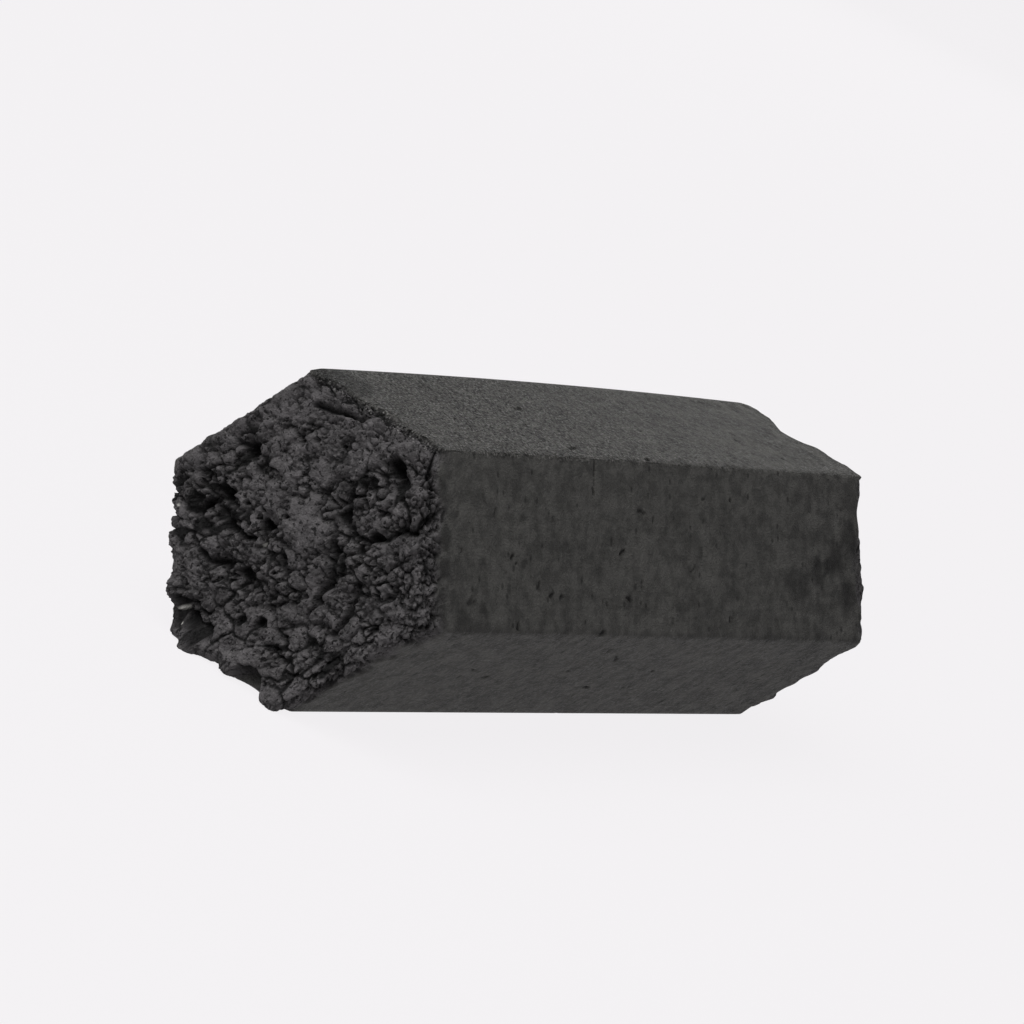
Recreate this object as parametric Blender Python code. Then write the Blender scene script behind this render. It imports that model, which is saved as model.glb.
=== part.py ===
"""Hexagonal charcoal briquette: charcoal powder pressed into one solid six-sided stick.

Metres, +Z up. The stick lies on one of its six faces at Z = 0, its long axis runs along X, and the
crumbly end that shows best is at -X. Sections are worked out in a plane whose first direction is
"across" (-Y) and whose second is "up" (+Z), measured from the middle of the section.
"""

import math

import bmesh
import bpy
from mathutils import Matrix, Vector, noise

MM = 0.001

# Driving dimensions
ACROSS_FLATS = 36.0 * MM
LENGTH = 101.2 * MM
CORNER_REACH = ACROSS_FLATS / math.sqrt(3)
HALF_HEIGHT = ACROSS_FLATS / 2

# Where the middle of the section and of the length lie, so that the origin is under the middle of the box
MIDDLE_X = -0.71 * MM
MIDDLE_Y = -0.065 * MM

# How sharp the long edges are: a higher power gives a smaller rounding, about 1 mm here
EDGE_POWER = 95
RIM_ROUNDING = {"near": 1.5 * MM, "far": 1.5 * MM}
# The push that carves the crumbs turns from the side's direction to the end's over this distance, so slowly
# that neighbouring points never cross
PUSH_TURN = 5.0 * MM
# The smooth ends stand this far past the length, because the creases between crumbs only cut inwards
CRUMB_SPARE = {"near": 1.5 * MM, "far": 1.3 * MM}

# The six long edges, in turning order: the offset of each from a true hexagon (across, up), how far its
# middle bows out, and how far it stands out past the flat end at the near and at the far end, in mm
EDGES = (
    ("side", 0, (0.15, -0.28), -0.2, -1.2, 1.0),
    ("upper front", 60, (-0.17, 0.29), 0.2, -2.4, 0.4),
    ("crest", 120, (0.45, 0.22), 0.5, -1.5, 0.4),
    ("back", 180, (0.0, -0.33), 0.0, 1.0, 0.0),
    ("floor back", 240, (0.19, 0.0), 0.0, 2.4, 0.0),
    ("floor front", 300, (-1.2, 0.0), 0.0, 2.8, 3.4),
)

# Mesh density: steps along one side of the hexagon, halved again at the near end, and the rings along the
# length, each at a distance from the nearer end
HEXAGON_STEPS = 15
NEAR_RINGS = [ring * MM for ring in (0.9, 1.9, 3.1, 4.5, 6.4, 8.6)]
FAR_RINGS = [ring * MM for ring in (0.7, 1.5, 2.6, 4.2)]
MIDDLE_RINGS = 3
FINE_RINGS = 4

# Crumbs of pressed powder: size, depth and width of the gaps round them, and how far one stands higher or
# lower than the next, in mm
CRUMBS = (
    (4.4, 0.35, 0.60, 0.12),
    (2.1, 0.80, 0.62, 0.16),
)
CRUMB_DOME = 0.07
CRUMB_LEVEL = 0.45 * MM
OPENNESS = 0.4
SWELL = (11.0 * MM, 0.7 * MM)
# Fixes the noise that bends and tears the crumbs, so that every run gives the same shape
NOISE_SEED = 7
RAGGED = (1.5 * MM, 0.5 * MM)

# The crumbs carry on over the rims: how far, how patchily, and how much less deep they are on the sides
FADE = {"near": 4.4 * MM, "far": 3.0 * MM}
FADE_PATCHES = 3.2 * MM
SIDE_LEVEL = 0.3 * MM

# Sides along which the near rim has kept its edge: how firm it is, and how far under the smooth form it lies
FIRM_SIDES = ((2, 0.75, 0.4 * MM), (4, 0.7, 0.1 * MM))
FIRM_REACH = 2.6 * MM

# Forms at the near end, each at (across, height above the floor) with its reach and its depth or height
NEAR_HOLLOWS = (
    (8.0, 31.2, 2.4, 1.0),
    (6.2, 23.4, 3.6, 1.2),
    (-12.5, 25.2, 2.4, 1.0),
    (-14.0, 15.3, 2.8, 1.4),
    (-4.8, 17.8, 2.2, 1.0),
    (-3.8, 10.4, 2.4, 1.2),
    (-7.6, 11.0, 2.2, 1.2),
    (-9.2, 3.0, 3.4, 1.4),
    (-5.6, 3.4, 2.8, 1.2),
    (6.1, 15.8, 2.3, 0.9),
    (-17.6, 11.6, 2.4, 1.0),
)
NEAR_HOLES = (
    (6.9, 31.9, 1.3, 2.6),
    (8.8, 30.6, 1.5, 1.2),
    (5.3, 29.2, 0.9, 1.2),
    (-12.4, 25.3, 1.2, 1.9),
    (-13.9, 14.9, 1.3, 1.9),
    (-11.0, 18.5, 0.9, 1.4),
    (-5.0, 17.5, 0.9, 1.3),
    (-4.3, 11.3, 1.1, 1.5),
    (-10.2, 3.4, 1.3, 1.8),
    (-7.6, 2.9, 1.3, 1.8),
    (-5.0, 2.7, 1.1, 1.6),
    (1.4, 7.7, 1.0, 1.1),
    (9.0, 23.6, 0.9, 1.1),
    (4.1, 23.6, 1.0, 1.1),
)
NEAR_LUMPS = (
    (-5.9, 8.6, 1.8, 1.5),
    (-11.0, 11.2, 1.5, 0.9),
    (-10.0, 16.8, 2.2, 0.9),
    (-11.0, 28.0, 1.5, 0.8),
    (-11.3, 22.8, 2.6, 0.6),
    (-19.2, 18.3, 1.9, 0.5),
    (-9.8, 5.6, 1.3, 0.8),
    (0.7, 20.2, 4.5, 0.6),
    (-5.6, 1.0, 2.6, 1.6),
    (1.0, 1.4, 2.6, 0.8),
    (7.6, 0.6, 3.2, 0.8),
    (9.5, 20.5, 4.0, 0.5),
    (3.5, 5.0, 4.0, 0.5),
)
# Crevices that wander over the near end, as points joined by straight runs
NEAR_CREVICES = (
    ((3.0, 27.5), (3.4, 25.4), (4.4, 23.2), (6.6, 22.4), (9.2, 23.2), (11.4, 25.6), (14.4, 27.0)),
    ((4.6, 20.4), (6.2, 16.6), (6.0, 13.6)),
    ((10.3, 17.0), (10.7, 12.6)),
    ((-13.9, 14.9), (-12.0, 17.2), (-10.8, 18.9)),
    ((-12.0, 16.2), (-8.6, 15.0), (-5.6, 15.4)),
    ((-12.8, 11.6), (-9.6, 10.2), (-7.4, 10.8)),
    ((-11.0, 3.8), (-8.0, 2.6), (-4.2, 2.4)),
    ((-6.6, 33.2), (-3.4, 34.2), (-0.4, 35.4)),
)
CREVICE_WIDTH = 0.9 * MM
CREVICE_DEPTH = 1.0 * MM
# Where the near end has crumbled most, and where it is still pressed flat: (across, height) and reach
OPEN_PATCHES = ((11.0, 20.0, 9.5), (-8.5, 6.0, 9.0), (-12.0, 17.0, 6.0), (4.0, 25.0, 5.0))
CALM_PATCHES = ((0.7, 20.3, 3.0), (12.6, 12.4, 2.4), (3.2, 3.4, 2.6), (-1.6, 26.0, 2.2))

# Chips broken out of the two rims and crumbs left standing on them, as the angle round the section, the
# reach, and the depth of the chip (or the height of the crumb, below zero)
NEAR_CHIPS = ((180, 2.6, 0.9), (212, 2.6, 0.5), (226, 2.2, -0.9), (236, 2.6, 1.6), (254, 2.2, -0.6),
              (266, 1.9, 0.7), (279, 3.1, 2.5), (298, 2.6, -0.2), (34, 3.0, 0.6), (92, 3.0, 0.6))
FAR_CHIPS = ((96, 5.0, 1.2), (122, 3.6, 0.5), (45, 3.4, 0.8), (72, 3.2, -0.35), (20, 2.6, -0.5),
             (335, 3.6, -0.5), (300, 3.0, 0.6), (150, 4.2, 1.0), (205, 4.4, 1.2))


def clear_scene():
    for leftover in list(bpy.data.objects):
        bpy.data.objects.remove(leftover)


def clamp(value):
    return min(1.0, max(0.0, value))


def bell(distance, reach):
    """1 at the middle, falling smoothly to 0 at the reach."""
    return max(0.0, 1.0 - (distance / reach) ** 2) ** 2


def ease(value):
    """A smooth rise from 0 to 1."""
    value = clamp(value)
    return value * value * (3.0 - 2.0 * value)


def edge_point(index, share):
    """The place of a long edge in the section at this share of the length."""
    name, angle, (across, up), bow, near, far = EDGES[index % len(EDGES)]
    turn = math.radians(angle)
    reach = CORNER_REACH + bow * MM * (1 - (2 * share - 1) ** 2)
    point = Vector((math.cos(turn) * reach, math.sin(turn) * reach))
    point += Vector((across, up)) * MM
    if up == 0.0:
        point.y = -HALF_HEIGHT
    return point


def face_lines(share):
    """The outward direction and the distance of each of the six faces."""
    lines = []
    for index in range(len(EDGES)):
        start = edge_point(index, share)
        run = (edge_point(index + 1, share) - start).normalized()
        outward = Vector((run.y, -run.x))
        lines.append((outward, outward.dot(start)))
    return lines


def section_point(index, along, share):
    """The rounded outline's point and outward direction, this far from one edge towards the next."""
    flat = edge_point(index, share).lerp(edge_point(index + 1, share), along)
    ray = flat.normalized()
    pulls = [(max(0.0, ray.dot(outward) / distance), outward) for outward, distance in face_lines(share)]
    most = max(pull for pull, outward in pulls)
    weights = [(pull / most) ** EDGE_POWER for pull, outward in pulls]
    reach = 1.0 / (most * sum(weights) ** (1.0 / EDGE_POWER))
    outward = sum((weight * side for weight, (pull, side) in zip(weights, pulls)), Vector((0.0, 0.0)))
    return ray * reach, outward.normalized()


def stand_out(index, along, end):
    """How far the rim stands out past the flat end there."""
    column = 4 if end == "near" else 5
    first = EDGES[index % len(EDGES)][column]
    second = EDGES[(index + 1) % len(EDGES)][column]
    return (first + (second - first) * along) * MM


def smooth_end(index, along, inward, end):
    """A point of the smooth end and its outward direction: inward runs from 0 at the rim to 1 in the middle."""
    rim, outward = section_point(index, along, 0.0 if end == "near" else 1.0)
    rounding = RIM_ROUNDING[end]
    gap = inward * HALF_HEIGHT
    turn = math.pi / 4 * clamp(1.0 - gap / rounding)
    towards = -1.0 if end == "near" else 1.0
    reach = rim.length * (1.0 - inward)
    if gap < rounding:
        reach = rim.length - (rounding - rounding * math.sin(turn)) * rim.length / HALF_HEIGHT
    section = rim.normalized() * reach
    out = LENGTH / 2 + CRUMB_SPARE[end] + stand_out(index, along, end) * (1.0 - inward)
    x = towards * (out - rounding * (1.0 - math.cos(turn)))
    normal = (towards * math.cos(turn), outward * math.sin(turn))
    return x, section, normal


def smooth_side(index, along, ring):
    """A point of the smooth side and its outward direction, at a ring given as (end, distance) or as
    ("middle", share of the way between the last rings of the two ends)."""
    near_x = -LENGTH / 2 - CRUMB_SPARE["near"] - stand_out(index, along, "near")
    far_x = LENGTH / 2 + CRUMB_SPARE["far"] + stand_out(index, along, "far")
    end, distance = ring
    if end == "middle":
        start = near_x + NEAR_RINGS[-1]
        x = start + (far_x - FAR_RINGS[-1] - start) * distance
        point, outward = section_point(index, along, (x - near_x) / (far_x - near_x))
        return x, point, (0.0, outward)
    x = near_x + distance if end == "near" else far_x - distance
    point, outward = section_point(index, along, (x - near_x) / (far_x - near_x))
    rounding = RIM_ROUNDING[end]
    turn = math.pi / 4 * clamp(1.0 - distance / rounding)
    towards = -1.0 if end == "near" else 1.0
    if distance < rounding:
        rim_x = near_x if end == "near" else far_x
        x = rim_x - towards * rounding * (1.0 - math.sin(turn))
        point = point - outward * rounding * (1.0 - math.cos(turn))
    return x, point, (towards * math.sin(turn), outward * math.cos(turn))


def crumb_relief(place, openness):
    """How far the crumbly surface lies under its smooth form."""
    reach, height = SWELL
    depth = CRUMB_LEVEL + height * noise.noise(place / reach)
    for number, (size, gap_depth, gap_width, step) in enumerate(CRUMBS):
        size = size * MM
        bent = place + noise.noise_vector(place / (size * 0.5)) * size * 0.24
        distances, centres = noise.voronoi(bent / size)
        border = (distances[1] - distances[0]) * size / 2
        patchy = noise.noise(place / (size * 1.9) + Vector((2.0 + number, 9.0, 4.0)))
        opened = ease(openness + 1.5 * patchy)
        gap = opened * (1.0 - ease(border / (gap_width * (0.6 + 0.6 * opened) * MM)))
        level = step * noise.cell(centres[0] * 7.3)
        depth += (gap_depth * gap + level * (0.4 + 0.6 * opened)) * MM
        depth += CRUMB_DOME * size * min(1.0, distances[0] / 0.75) ** 2
    return depth


def run_distance(point, start, end):
    """The distance of a point from a straight run."""
    run = end - start
    along = clamp((point - start).dot(run) / run.length_squared)
    return (point - start - run * along).length


def near_forms(across, up):
    """Depth of the near end's own hollows, holes and crevices at a point, less the height of its lumps."""
    here = Vector((across, up))
    depth = 0.0
    for a, height, reach, fall in NEAR_HOLLOWS:
        depth += fall * MM * bell((here - Vector((a, height)) * MM).length, reach * MM)
    for a, height, reach, rise in NEAR_LUMPS:
        depth -= rise * MM * bell((here - Vector((a, height)) * MM).length, reach * MM)
    for a, height, reach, fall in NEAR_HOLES:
        depth += fall * MM * ease(2.0 * (1.0 - (here - Vector((a, height)) * MM).length / (reach * MM)))
    for route in NEAR_CREVICES:
        points = [Vector(point) * MM for point in route]
        nearest = min(run_distance(here, a, b) for a, b in zip(points, points[1:]))
        depth += CREVICE_DEPTH * bell(nearest, CREVICE_WIDTH)
    return depth


def patch_share(patches, across, up):
    """1 in the middle of one of these patches of the near end, 0 outside them."""
    here = Vector((across, up))
    return max(bell((here - Vector((a, height)) * MM).length, reach * MM) for a, height, reach in patches)


def firm_relief(relief, place):
    """The relief beside the near rim, evened out along the sides where the rim has kept its edge."""
    lines = face_lines(0.0)
    for index, firmness, level in FIRM_SIDES:
        outward, distance = lines[index]
        gap = distance - Vector((place.y, place.z)).dot(outward)
        relief += (level - relief) * firmness * bell(gap, FIRM_REACH)
    return relief


def rim_chips(place):
    """The move that the chips and crumbs of one rim give to a point near it: inwards along the slanted rim."""
    end, towards, chips = ("near", -1.0, NEAR_CHIPS) if place.x < 0 else ("far", 1.0, FAR_CHIPS)
    move = Vector((0.0, 0.0, 0.0))
    for angle, reach, depth in chips:
        index, share = divmod(angle / 60.0, 1.0)
        rim, outward = section_point(int(index), share, 0.5)
        out = LENGTH / 2 + CRUMB_SPARE[end] + stand_out(int(index), share, end)
        centre = Vector((towards * out, rim.x, rim.y))
        slant = Vector((towards, outward.x, outward.y)).normalized()
        move -= slant * depth * MM * bell((place - centre).length, reach * MM)
    return move


def push_direction(place, inward, ring):
    """The way in which crumbs and hollows are measured: along the length at the ends, from the middle line on
    the sides, and slowly turning from one to the other round the rim."""
    end, distance = ring
    towards = -1.0 if end == "near" else 1.0
    gap = distance if inward is None else inward * HALF_HEIGHT
    turn = math.pi / 4 * clamp(1.0 - gap / PUSH_TURN)
    ray = Vector((place.y, place.z)).normalized()
    if inward is None:
        axial, radial = towards * math.sin(turn), ray * math.cos(turn)
    else:
        axial, radial = towards * math.cos(turn), ray * math.sin(turn)
    return Vector((axial, radial.x, radial.y))


def smooth_point(index, along, inward, ring):
    """The smooth place of a net point, how far it faces along the length, and how crumbly it is there."""
    end, distance = ring
    if inward is not None:
        x, section, (axial, radial) = smooth_end(index, along, inward, end)
        return Vector((x, section.x, section.y)), abs(axial), 1.0
    x, section, (axial, radial) = smooth_side(index, along, ring)
    place = Vector((x, section.x, section.y))
    if end == "middle":
        return place, 0.0, 0.0
    patchy = 1.0 + 1.1 * noise.noise(place / FADE_PATCHES)
    return place, abs(axial), ease(1.5 * (1.0 - distance / (FADE[end] * patchy)))


def surface_point(index, along, inward, ring):
    """The briquette's surface at one point of its net, in X, Y, Z."""
    end = ring[0]
    place, axial, rough = smooth_point(index, along, inward, ring)
    if end == "middle":
        return Vector((place.x - MIDDLE_X, -place.y - MIDDLE_Y, max(0.0, place.z + HALF_HEIGHT)))
    hollow, openness = 0.0, OPENNESS
    if end == "near":
        size, pull = RAGGED
        torn = place + noise.noise_vector(place / size) * pull
        facing = clamp(axial * 1.4)
        hollow = near_forms(torn.y, torn.z + HALF_HEIGHT) * facing
        openness += 0.35 * patch_share(OPEN_PATCHES, place.y, place.z + HALF_HEIGHT)
        openness -= 0.7 * patch_share(CALM_PATCHES, place.y, place.z + HALF_HEIGHT) * facing
    relief = max(-0.1 * MM, crumb_relief(place, openness) - SIDE_LEVEL * (1.0 - axial))
    if end == "near":
        relief = firm_relief(relief, place)
    push = push_direction(place, inward, ring)
    place = place - push * (relief * rough + hollow) + rim_chips(place)
    height = max(0.0, place.z + HALF_HEIGHT)
    return Vector((place.x - MIDDLE_X, -place.y - MIDDLE_Y, height))


def rings():
    """All rings from the near rim to the far rim."""
    near = [("near", distance) for distance in [0.0] + NEAR_RINGS]
    middle = [("middle", (step + 1) / (MIDDLE_RINGS + 1)) for step in range(MIDDLE_RINGS)]
    far = [("far", distance) for distance in reversed([0.0] + FAR_RINGS)]
    return near + middle + far


def ring_at(level, all_rings):
    """The ring at a level of the net, which may lie half way between two."""
    low = min(int(level + 0.01), len(all_rings) - 2)
    (end, distance), (next_end, next_distance) = all_rings[low], all_rings[low + 1]
    if level - low < 0.01:
        return end, distance
    if end != next_end:
        return next_end, next_distance
    return end, distance + (next_distance - distance) * (level - low)


def hexagon_grid(bm, steps):
    """A flat hexagon at the origin with a corner on the first direction, cut into a net of equal triangles."""
    bmesh.ops.create_circle(bm, cap_ends=True, cap_tris=True, segments=6, radius=1.0)
    turn = Matrix.Rotation(math.radians(30.0), 3, "Z")
    bmesh.ops.rotate(bm, verts=bm.verts[:], cent=(0.0, 0.0, 0.0), matrix=turn)
    bmesh.ops.subdivide_edges(bm, edges=bm.edges[:], cuts=steps - 1, use_grid_fill=True)


def unit_prism(bm, steps, levels):
    """The net of the whole stick: both ends and a band of faces between each level and the next."""
    hexagon_grid(bm, steps)
    copy = bmesh.ops.duplicate(bm, geom=bm.verts[:] + bm.edges[:] + bm.faces[:])
    far_verts = [item for item in copy["geom"] if isinstance(item, bmesh.types.BMVert)]
    bmesh.ops.translate(bm, verts=far_verts, vec=(0.0, 0.0, levels))
    rim = [edge for edge in bm.edges if edge.is_boundary and edge.verts[0].co.z < 0.5]
    for level in range(levels):
        grown = bmesh.ops.extrude_edge_only(bm, edges=rim)["geom"]
        moved = {item for item in grown if isinstance(item, bmesh.types.BMVert)}
        rim = [item for item in grown if isinstance(item, bmesh.types.BMEdge) and set(item.verts) <= moved]
        bmesh.ops.translate(bm, verts=list(moved), vec=(0.0, 0.0, 1.0))
    bmesh.ops.remove_doubles(bm, verts=bm.verts[:], dist=0.0001)
    near = [edge for edge in bm.edges if all(vert.co.z < FINE_RINGS + 0.5 for vert in edge.verts)]
    bmesh.ops.subdivide_edges(bm, edges=near, cuts=1, use_grid_fill=True)
    bmesh.ops.poke(bm, faces=[face for face in bm.faces if len(face.verts) > 4])


def net_place(co, all_rings):
    """Which side of the hexagon a net point belongs to, how far along it, how far inward, and its ring."""
    turn = math.degrees(math.atan2(co.y, co.x)) % 360.0
    index = int(turn // 60.0) % 6
    local = math.radians(turn - index * 60.0)
    reach = math.hypot(co.x, co.y)
    outer = math.cos(math.radians(30.0)) / math.cos(local - math.radians(30.0))
    along = clamp(math.sin(local) * outer / math.sin(math.radians(60.0)))
    if co.z < 0.01 or co.z > len(all_rings) - 1.01:
        end = "near" if co.z < 0.01 else "far"
        return index, along, clamp(1.0 - reach / outer), (end, 0.0)
    return index, along, None, ring_at(co.z, all_rings)


def charcoal():
    """Matt black-grey pressed charcoal."""
    material = bpy.data.materials.new("charcoal")
    material.use_nodes = True
    shader = material.node_tree.nodes["Principled BSDF"]
    shader.inputs["Base Color"].default_value = (0.044, 0.043, 0.041, 1.0)
    shader.inputs["Roughness"].default_value = 0.85
    shader.inputs["Metallic"].default_value = 0.0
    return material


def build_briquette():
    """The one piece: the net of a six-sided stick, each point moved to its place on the briquette."""
    noise.seed_set(NOISE_SEED)
    bm = bmesh.new()
    all_rings = rings()
    unit_prism(bm, HEXAGON_STEPS, len(all_rings) - 1)
    for vert in bm.verts:
        vert.co = surface_point(*net_place(vert.co, all_rings))
    bmesh.ops.triangulate(bm, faces=bm.faces[:])
    bmesh.ops.recalc_face_normals(bm, faces=bm.faces[:])
    mesh = bpy.data.meshes.new("briquette")
    bm.to_mesh(mesh)
    bm.free()
    mesh.materials.append(charcoal())
    mesh.shade_smooth()
    mesh.set_sharp_from_angle(angle=math.radians(40))
    briquette = bpy.data.objects.new("briquette", mesh)
    bpy.context.scene.collection.objects.link(briquette)


clear_scene()
build_briquette()
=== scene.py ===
"""A hexagonal charcoal briquette on a pale studio floor.

Metres, +Z up. The briquette lies on one of its six sides at Z = 0 with its long axis along X. Its sections
are worked out in a plane whose first direction is "across" (-Y) and whose second is "up" (+Z), measured
from the middle of the section. The near end is the crumbly one at -X.
"""

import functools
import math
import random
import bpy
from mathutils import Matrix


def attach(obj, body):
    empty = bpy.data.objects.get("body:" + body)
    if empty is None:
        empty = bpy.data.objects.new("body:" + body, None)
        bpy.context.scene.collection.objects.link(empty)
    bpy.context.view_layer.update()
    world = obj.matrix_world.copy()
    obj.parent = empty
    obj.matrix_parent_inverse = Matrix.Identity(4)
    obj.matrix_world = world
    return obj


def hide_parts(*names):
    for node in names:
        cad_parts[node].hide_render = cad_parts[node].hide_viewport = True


bl_info = {
    "name": "Charcoal Briquette",
    "version": (1, 0, 0),
    "blender": (4, 5, 0),
    "location": "3D View > Sidebar > Briquette",
    "description": "Builds a pressed hexagonal charcoal briquette and a pale studio round it",
    "category": "Object",
}

import bmesh
import bpy
from bpy.props import FloatProperty, FloatVectorProperty, IntProperty, PointerProperty
from mathutils import Matrix, Vector, noise

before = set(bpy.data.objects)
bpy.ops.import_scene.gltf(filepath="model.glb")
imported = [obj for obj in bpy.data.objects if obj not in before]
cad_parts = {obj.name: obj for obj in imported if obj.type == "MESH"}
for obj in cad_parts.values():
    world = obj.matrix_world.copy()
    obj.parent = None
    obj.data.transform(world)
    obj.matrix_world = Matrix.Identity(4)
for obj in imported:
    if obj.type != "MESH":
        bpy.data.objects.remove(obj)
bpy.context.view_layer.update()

MM = 0.001
SIDES = 6
SIDE_TURN = 60.0
FRONT, TOP, UNDER_FRONT = 0, 1, 5

# Where the middle of the section and of the length lie in the frame
MIDDLE_X = -0.71 * MM
MIDDLE_Y = -0.065 * MM

# The long edges in turning order: name, angle, offset from a true hexagon (across, up), how far the middle
# bows out, and how far the edge stands out past the flat near end and far end, in mm
EDGES = (
    ("side", 0, (0.15, -0.28), -0.2, -1.2, 1.0),
    ("upper front", 60, (-0.17, 0.29), 0.2, -2.4, 0.4),
    ("crest", 120, (0.45, 0.22), 0.5, -1.5, 0.4),
    ("back", 180, (0.0, -0.33), 0.0, 1.0, 0.0),
    ("floor back", 240, (0.19, 0.0), 0.0, 2.4, 0.0),
    ("floor front", 300, (-1.2, 0.0), 0.0, 2.8, 3.4),
)
RIM_ROUNDING = 1.5 * MM
# The push that carves the crumbs turns from the side's direction to the end's over this distance
PUSH_TURN = 5.0 * MM
# How far the smooth end stands out before crumbs are carved into it
CRUMB_SPARE = {"near": 1.5 * MM, "far": 1.3 * MM}
# How far the crumbs reach along the sides, and how much of that is lost on the upper side
FADE = {"near": 4.4 * MM, "far": 3.0 * MM}
UPPER_FADE = 0.5
FADE_PATCHES = 3.2 * MM

# Crumbs of pressed powder, from clumps down to grains: size, depth and width of the gaps round them, and how
# far one stands higher or lower than the next, in mm
CRUMBS = (
    (4.4, 0.35, 0.32, 0.09),
    (2.1, 0.80, 0.25, 0.11),
    (1.05, 0.60, 0.17, 0.08),
    (0.6, 0.30, 0.11, 0.04),
)
# Size and pull of the noise that bends a crumb's outline, and size of the patches with open gaps, as shares
# of the crumb's size, and how different those patches are
CRUMB_BEND = (0.5, 0.24)
PATCH_SIZE = 1.9
PATCH_CONTRAST = 1.5
# How much more of the gaps open in the open patches, and how much less in the calm ones
OPEN_GAIN = 0.35
CALM_LOSS = 0.7
# How soon a gap between crumbs is painted dark, as painted shade in the gap
GAP_SHADE = 1.7
GAP_SHADE_START = 0.55
# How round each crumb is, how open the gaps are on average, and the depth that the crumbs lie at
CRUMB_DOME = 0.045
OPENNESS = 0.4
CRUMB_LEVEL = 0.38 * MM
# Small open pores between the grains: spacing, half width and depth. A cell holds one if its random number,
# from -1 to 1, is not below the least.
PORE_SPACING = 1.5 * MM
PORE_WIDTH = 0.44 * MM
PORE_DEPTH = 0.9 * MM
PORE_LEAST = 0.1
PORE_PATCHES = 3.6 * MM
# Size and pull of the noise that bends the pores' outlines
PORE_BEND = (0.5 * MM, 0.3 * MM)
# The level that the far end's crumb relief is evened out to, and how much of it is left beside the smoother
# rim and in the middle, this far from the rim
FAR_LEVEL = 0.55 * MM
FAR_RIM_RELIEF = 0.2
FAR_MIDDLE_RELIEF = 0.9
FAR_CALM_REACH = 4.0 * MM
# Sides along which the near rim has kept its edge: how firm it is, and how far under the smooth form it lies
FIRM_SIDES = ((2, 0.75, 0.4 * MM), (4, 0.7, 0.1 * MM))
FIRM_REACH = 2.6 * MM
# How far the crumbs beside the rims are raised again on the sides, and how far one may stand out
SIDE_LEVEL = 0.3 * MM
LEAST_RELIEF = -0.1 * MM
# How much of the rounded rim still counts as facing the way that the end does
FACING_GAIN = 1.4
# Size and height of the slow waves of the ends
SWELL = (11.0 * MM, 0.5 * MM)
NOISE_SEED = 7
# Size and pull of the noise that tears the outlines of the near end's forms, of the marks, and of the stains
# and the painted shade by the near rim
RAGGED = (1.5 * MM, 0.5 * MM)
RAGGED_MARK = (0.7 * MM, 0.22 * MM)
STAIN_AND_SHADE_TEAR = (2.4 * MM, 1.4 * MM)
# A mark this deep is painted fully dark, as painted shade in its hollow
FULL_SHADE_MARK = 0.24 * MM

# Forms at the near end, each at (across, height above the floor) with its reach and its depth or height
NEAR_HOLLOWS = (
    (8.0, 31.2, 2.4, 1.0),
    (6.2, 23.6, 2.4, 0.4),
    (-11.6, 24.1, 2.4, 0.9),
    (-13.7, 15.3, 2.4, 1.0),
    (-4.8, 17.8, 2.2, 1.0),
    (-3.8, 10.4, 2.4, 1.2),
    (-7.6, 11.0, 2.2, 1.2),
    (-9.2, 3.0, 3.4, 1.4),
    (-5.6, 3.4, 2.8, 1.2),
    (6.1, 15.8, 2.3, 0.9),
    (-17.6, 11.6, 2.4, 1.0),
)
NEAR_HOLES = (
    (6.9, 31.9, 1.6, 2.6),
    (8.8, 30.4, 1.5, 0.7),
    (5.3, 29.2, 0.8, 0.8),
    (-11.5, 24.2, 1.4, 1.9),
    (-13.8, 14.8, 1.3, 1.9),
    (-12.0, 18.0, 1.0, 1.4),
    (-5.0, 17.5, 0.9, 1.3),
    (-4.3, 11.3, 1.1, 1.5),
    (-10.7, 2.9, 1.5, 1.8),
    (-8.1, 2.3, 1.5, 1.8),
    (-5.4, 2.1, 1.3, 1.6),
    (1.4, 7.7, 1.0, 1.1),
    (-1.4, 6.6, 0.8, 1.0),
    (9.0, 23.6, 0.9, 1.1),
    (4.1, 23.6, 1.0, 1.1),
)
# How steeply a hole falls, and how near its edge the painted shade starts
HOLE_STEEPNESS = 2.0
HOLE_SHADE = 3.2
NEAR_LUMPS = (
    (-5.9, 8.6, 1.8, 1.5),
    (-11.0, 11.2, 1.5, 0.9),
    (-10.0, 16.8, 2.2, 0.9),
    (-11.0, 28.0, 1.5, 0.8),
    (-11.3, 22.8, 2.6, 0.6),
    (-19.2, 18.3, 1.9, 0.5),
    (-9.8, 5.6, 1.3, 0.8),
    (0.7, 20.2, 4.5, 0.6),
    (-5.6, 1.0, 2.6, 1.6),
    (1.0, 1.4, 2.6, 0.8),
    (7.6, 0.6, 3.2, 0.8),
    (9.5, 20.5, 4.0, 0.5),
    (3.5, 5.0, 4.0, 0.5),
)
NEAR_CREVICES = (
    ((3.0, 27.5), (3.4, 25.4), (4.4, 23.2), (6.6, 22.4), (9.2, 23.2), (11.4, 25.6), (14.4, 27.0)),
    ((4.6, 20.4), (6.2, 16.6), (6.0, 13.6)),
    ((10.3, 17.0), (10.7, 12.6)),
    ((-0.6, 15.6), (1.0, 13.8)),
    ((-13.9, 14.9), (-12.0, 17.2), (-10.8, 18.9)),
    ((-12.0, 16.2), (-8.6, 15.0), (-5.6, 15.4)),
    ((-12.8, 11.6), (-9.6, 10.2), (-7.4, 10.8)),
    ((-11.0, 3.8), (-8.0, 2.6), (-4.2, 2.4)),
    ((-6.6, 33.2), (-3.4, 34.2), (-0.4, 35.4)),
)
# Where the gaps are wide open, and where the end is pressed smooth: place and reach
OPEN_PATCHES = ((11.0, 20.0, 9.5), (-8.5, 6.0, 9.0), (-12.0, 17.0, 6.0), (4.0, 25.0, 5.0))
CALM_PATCHES = ((0.7, 20.3, 3.0), (12.6, 12.4, 2.4), (3.2, 3.4, 2.6), (-1.6, 26.0, 2.2))
CREVICE_WIDTH = 0.7 * MM
CREVICE_DEPTH = 1.0 * MM
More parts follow.
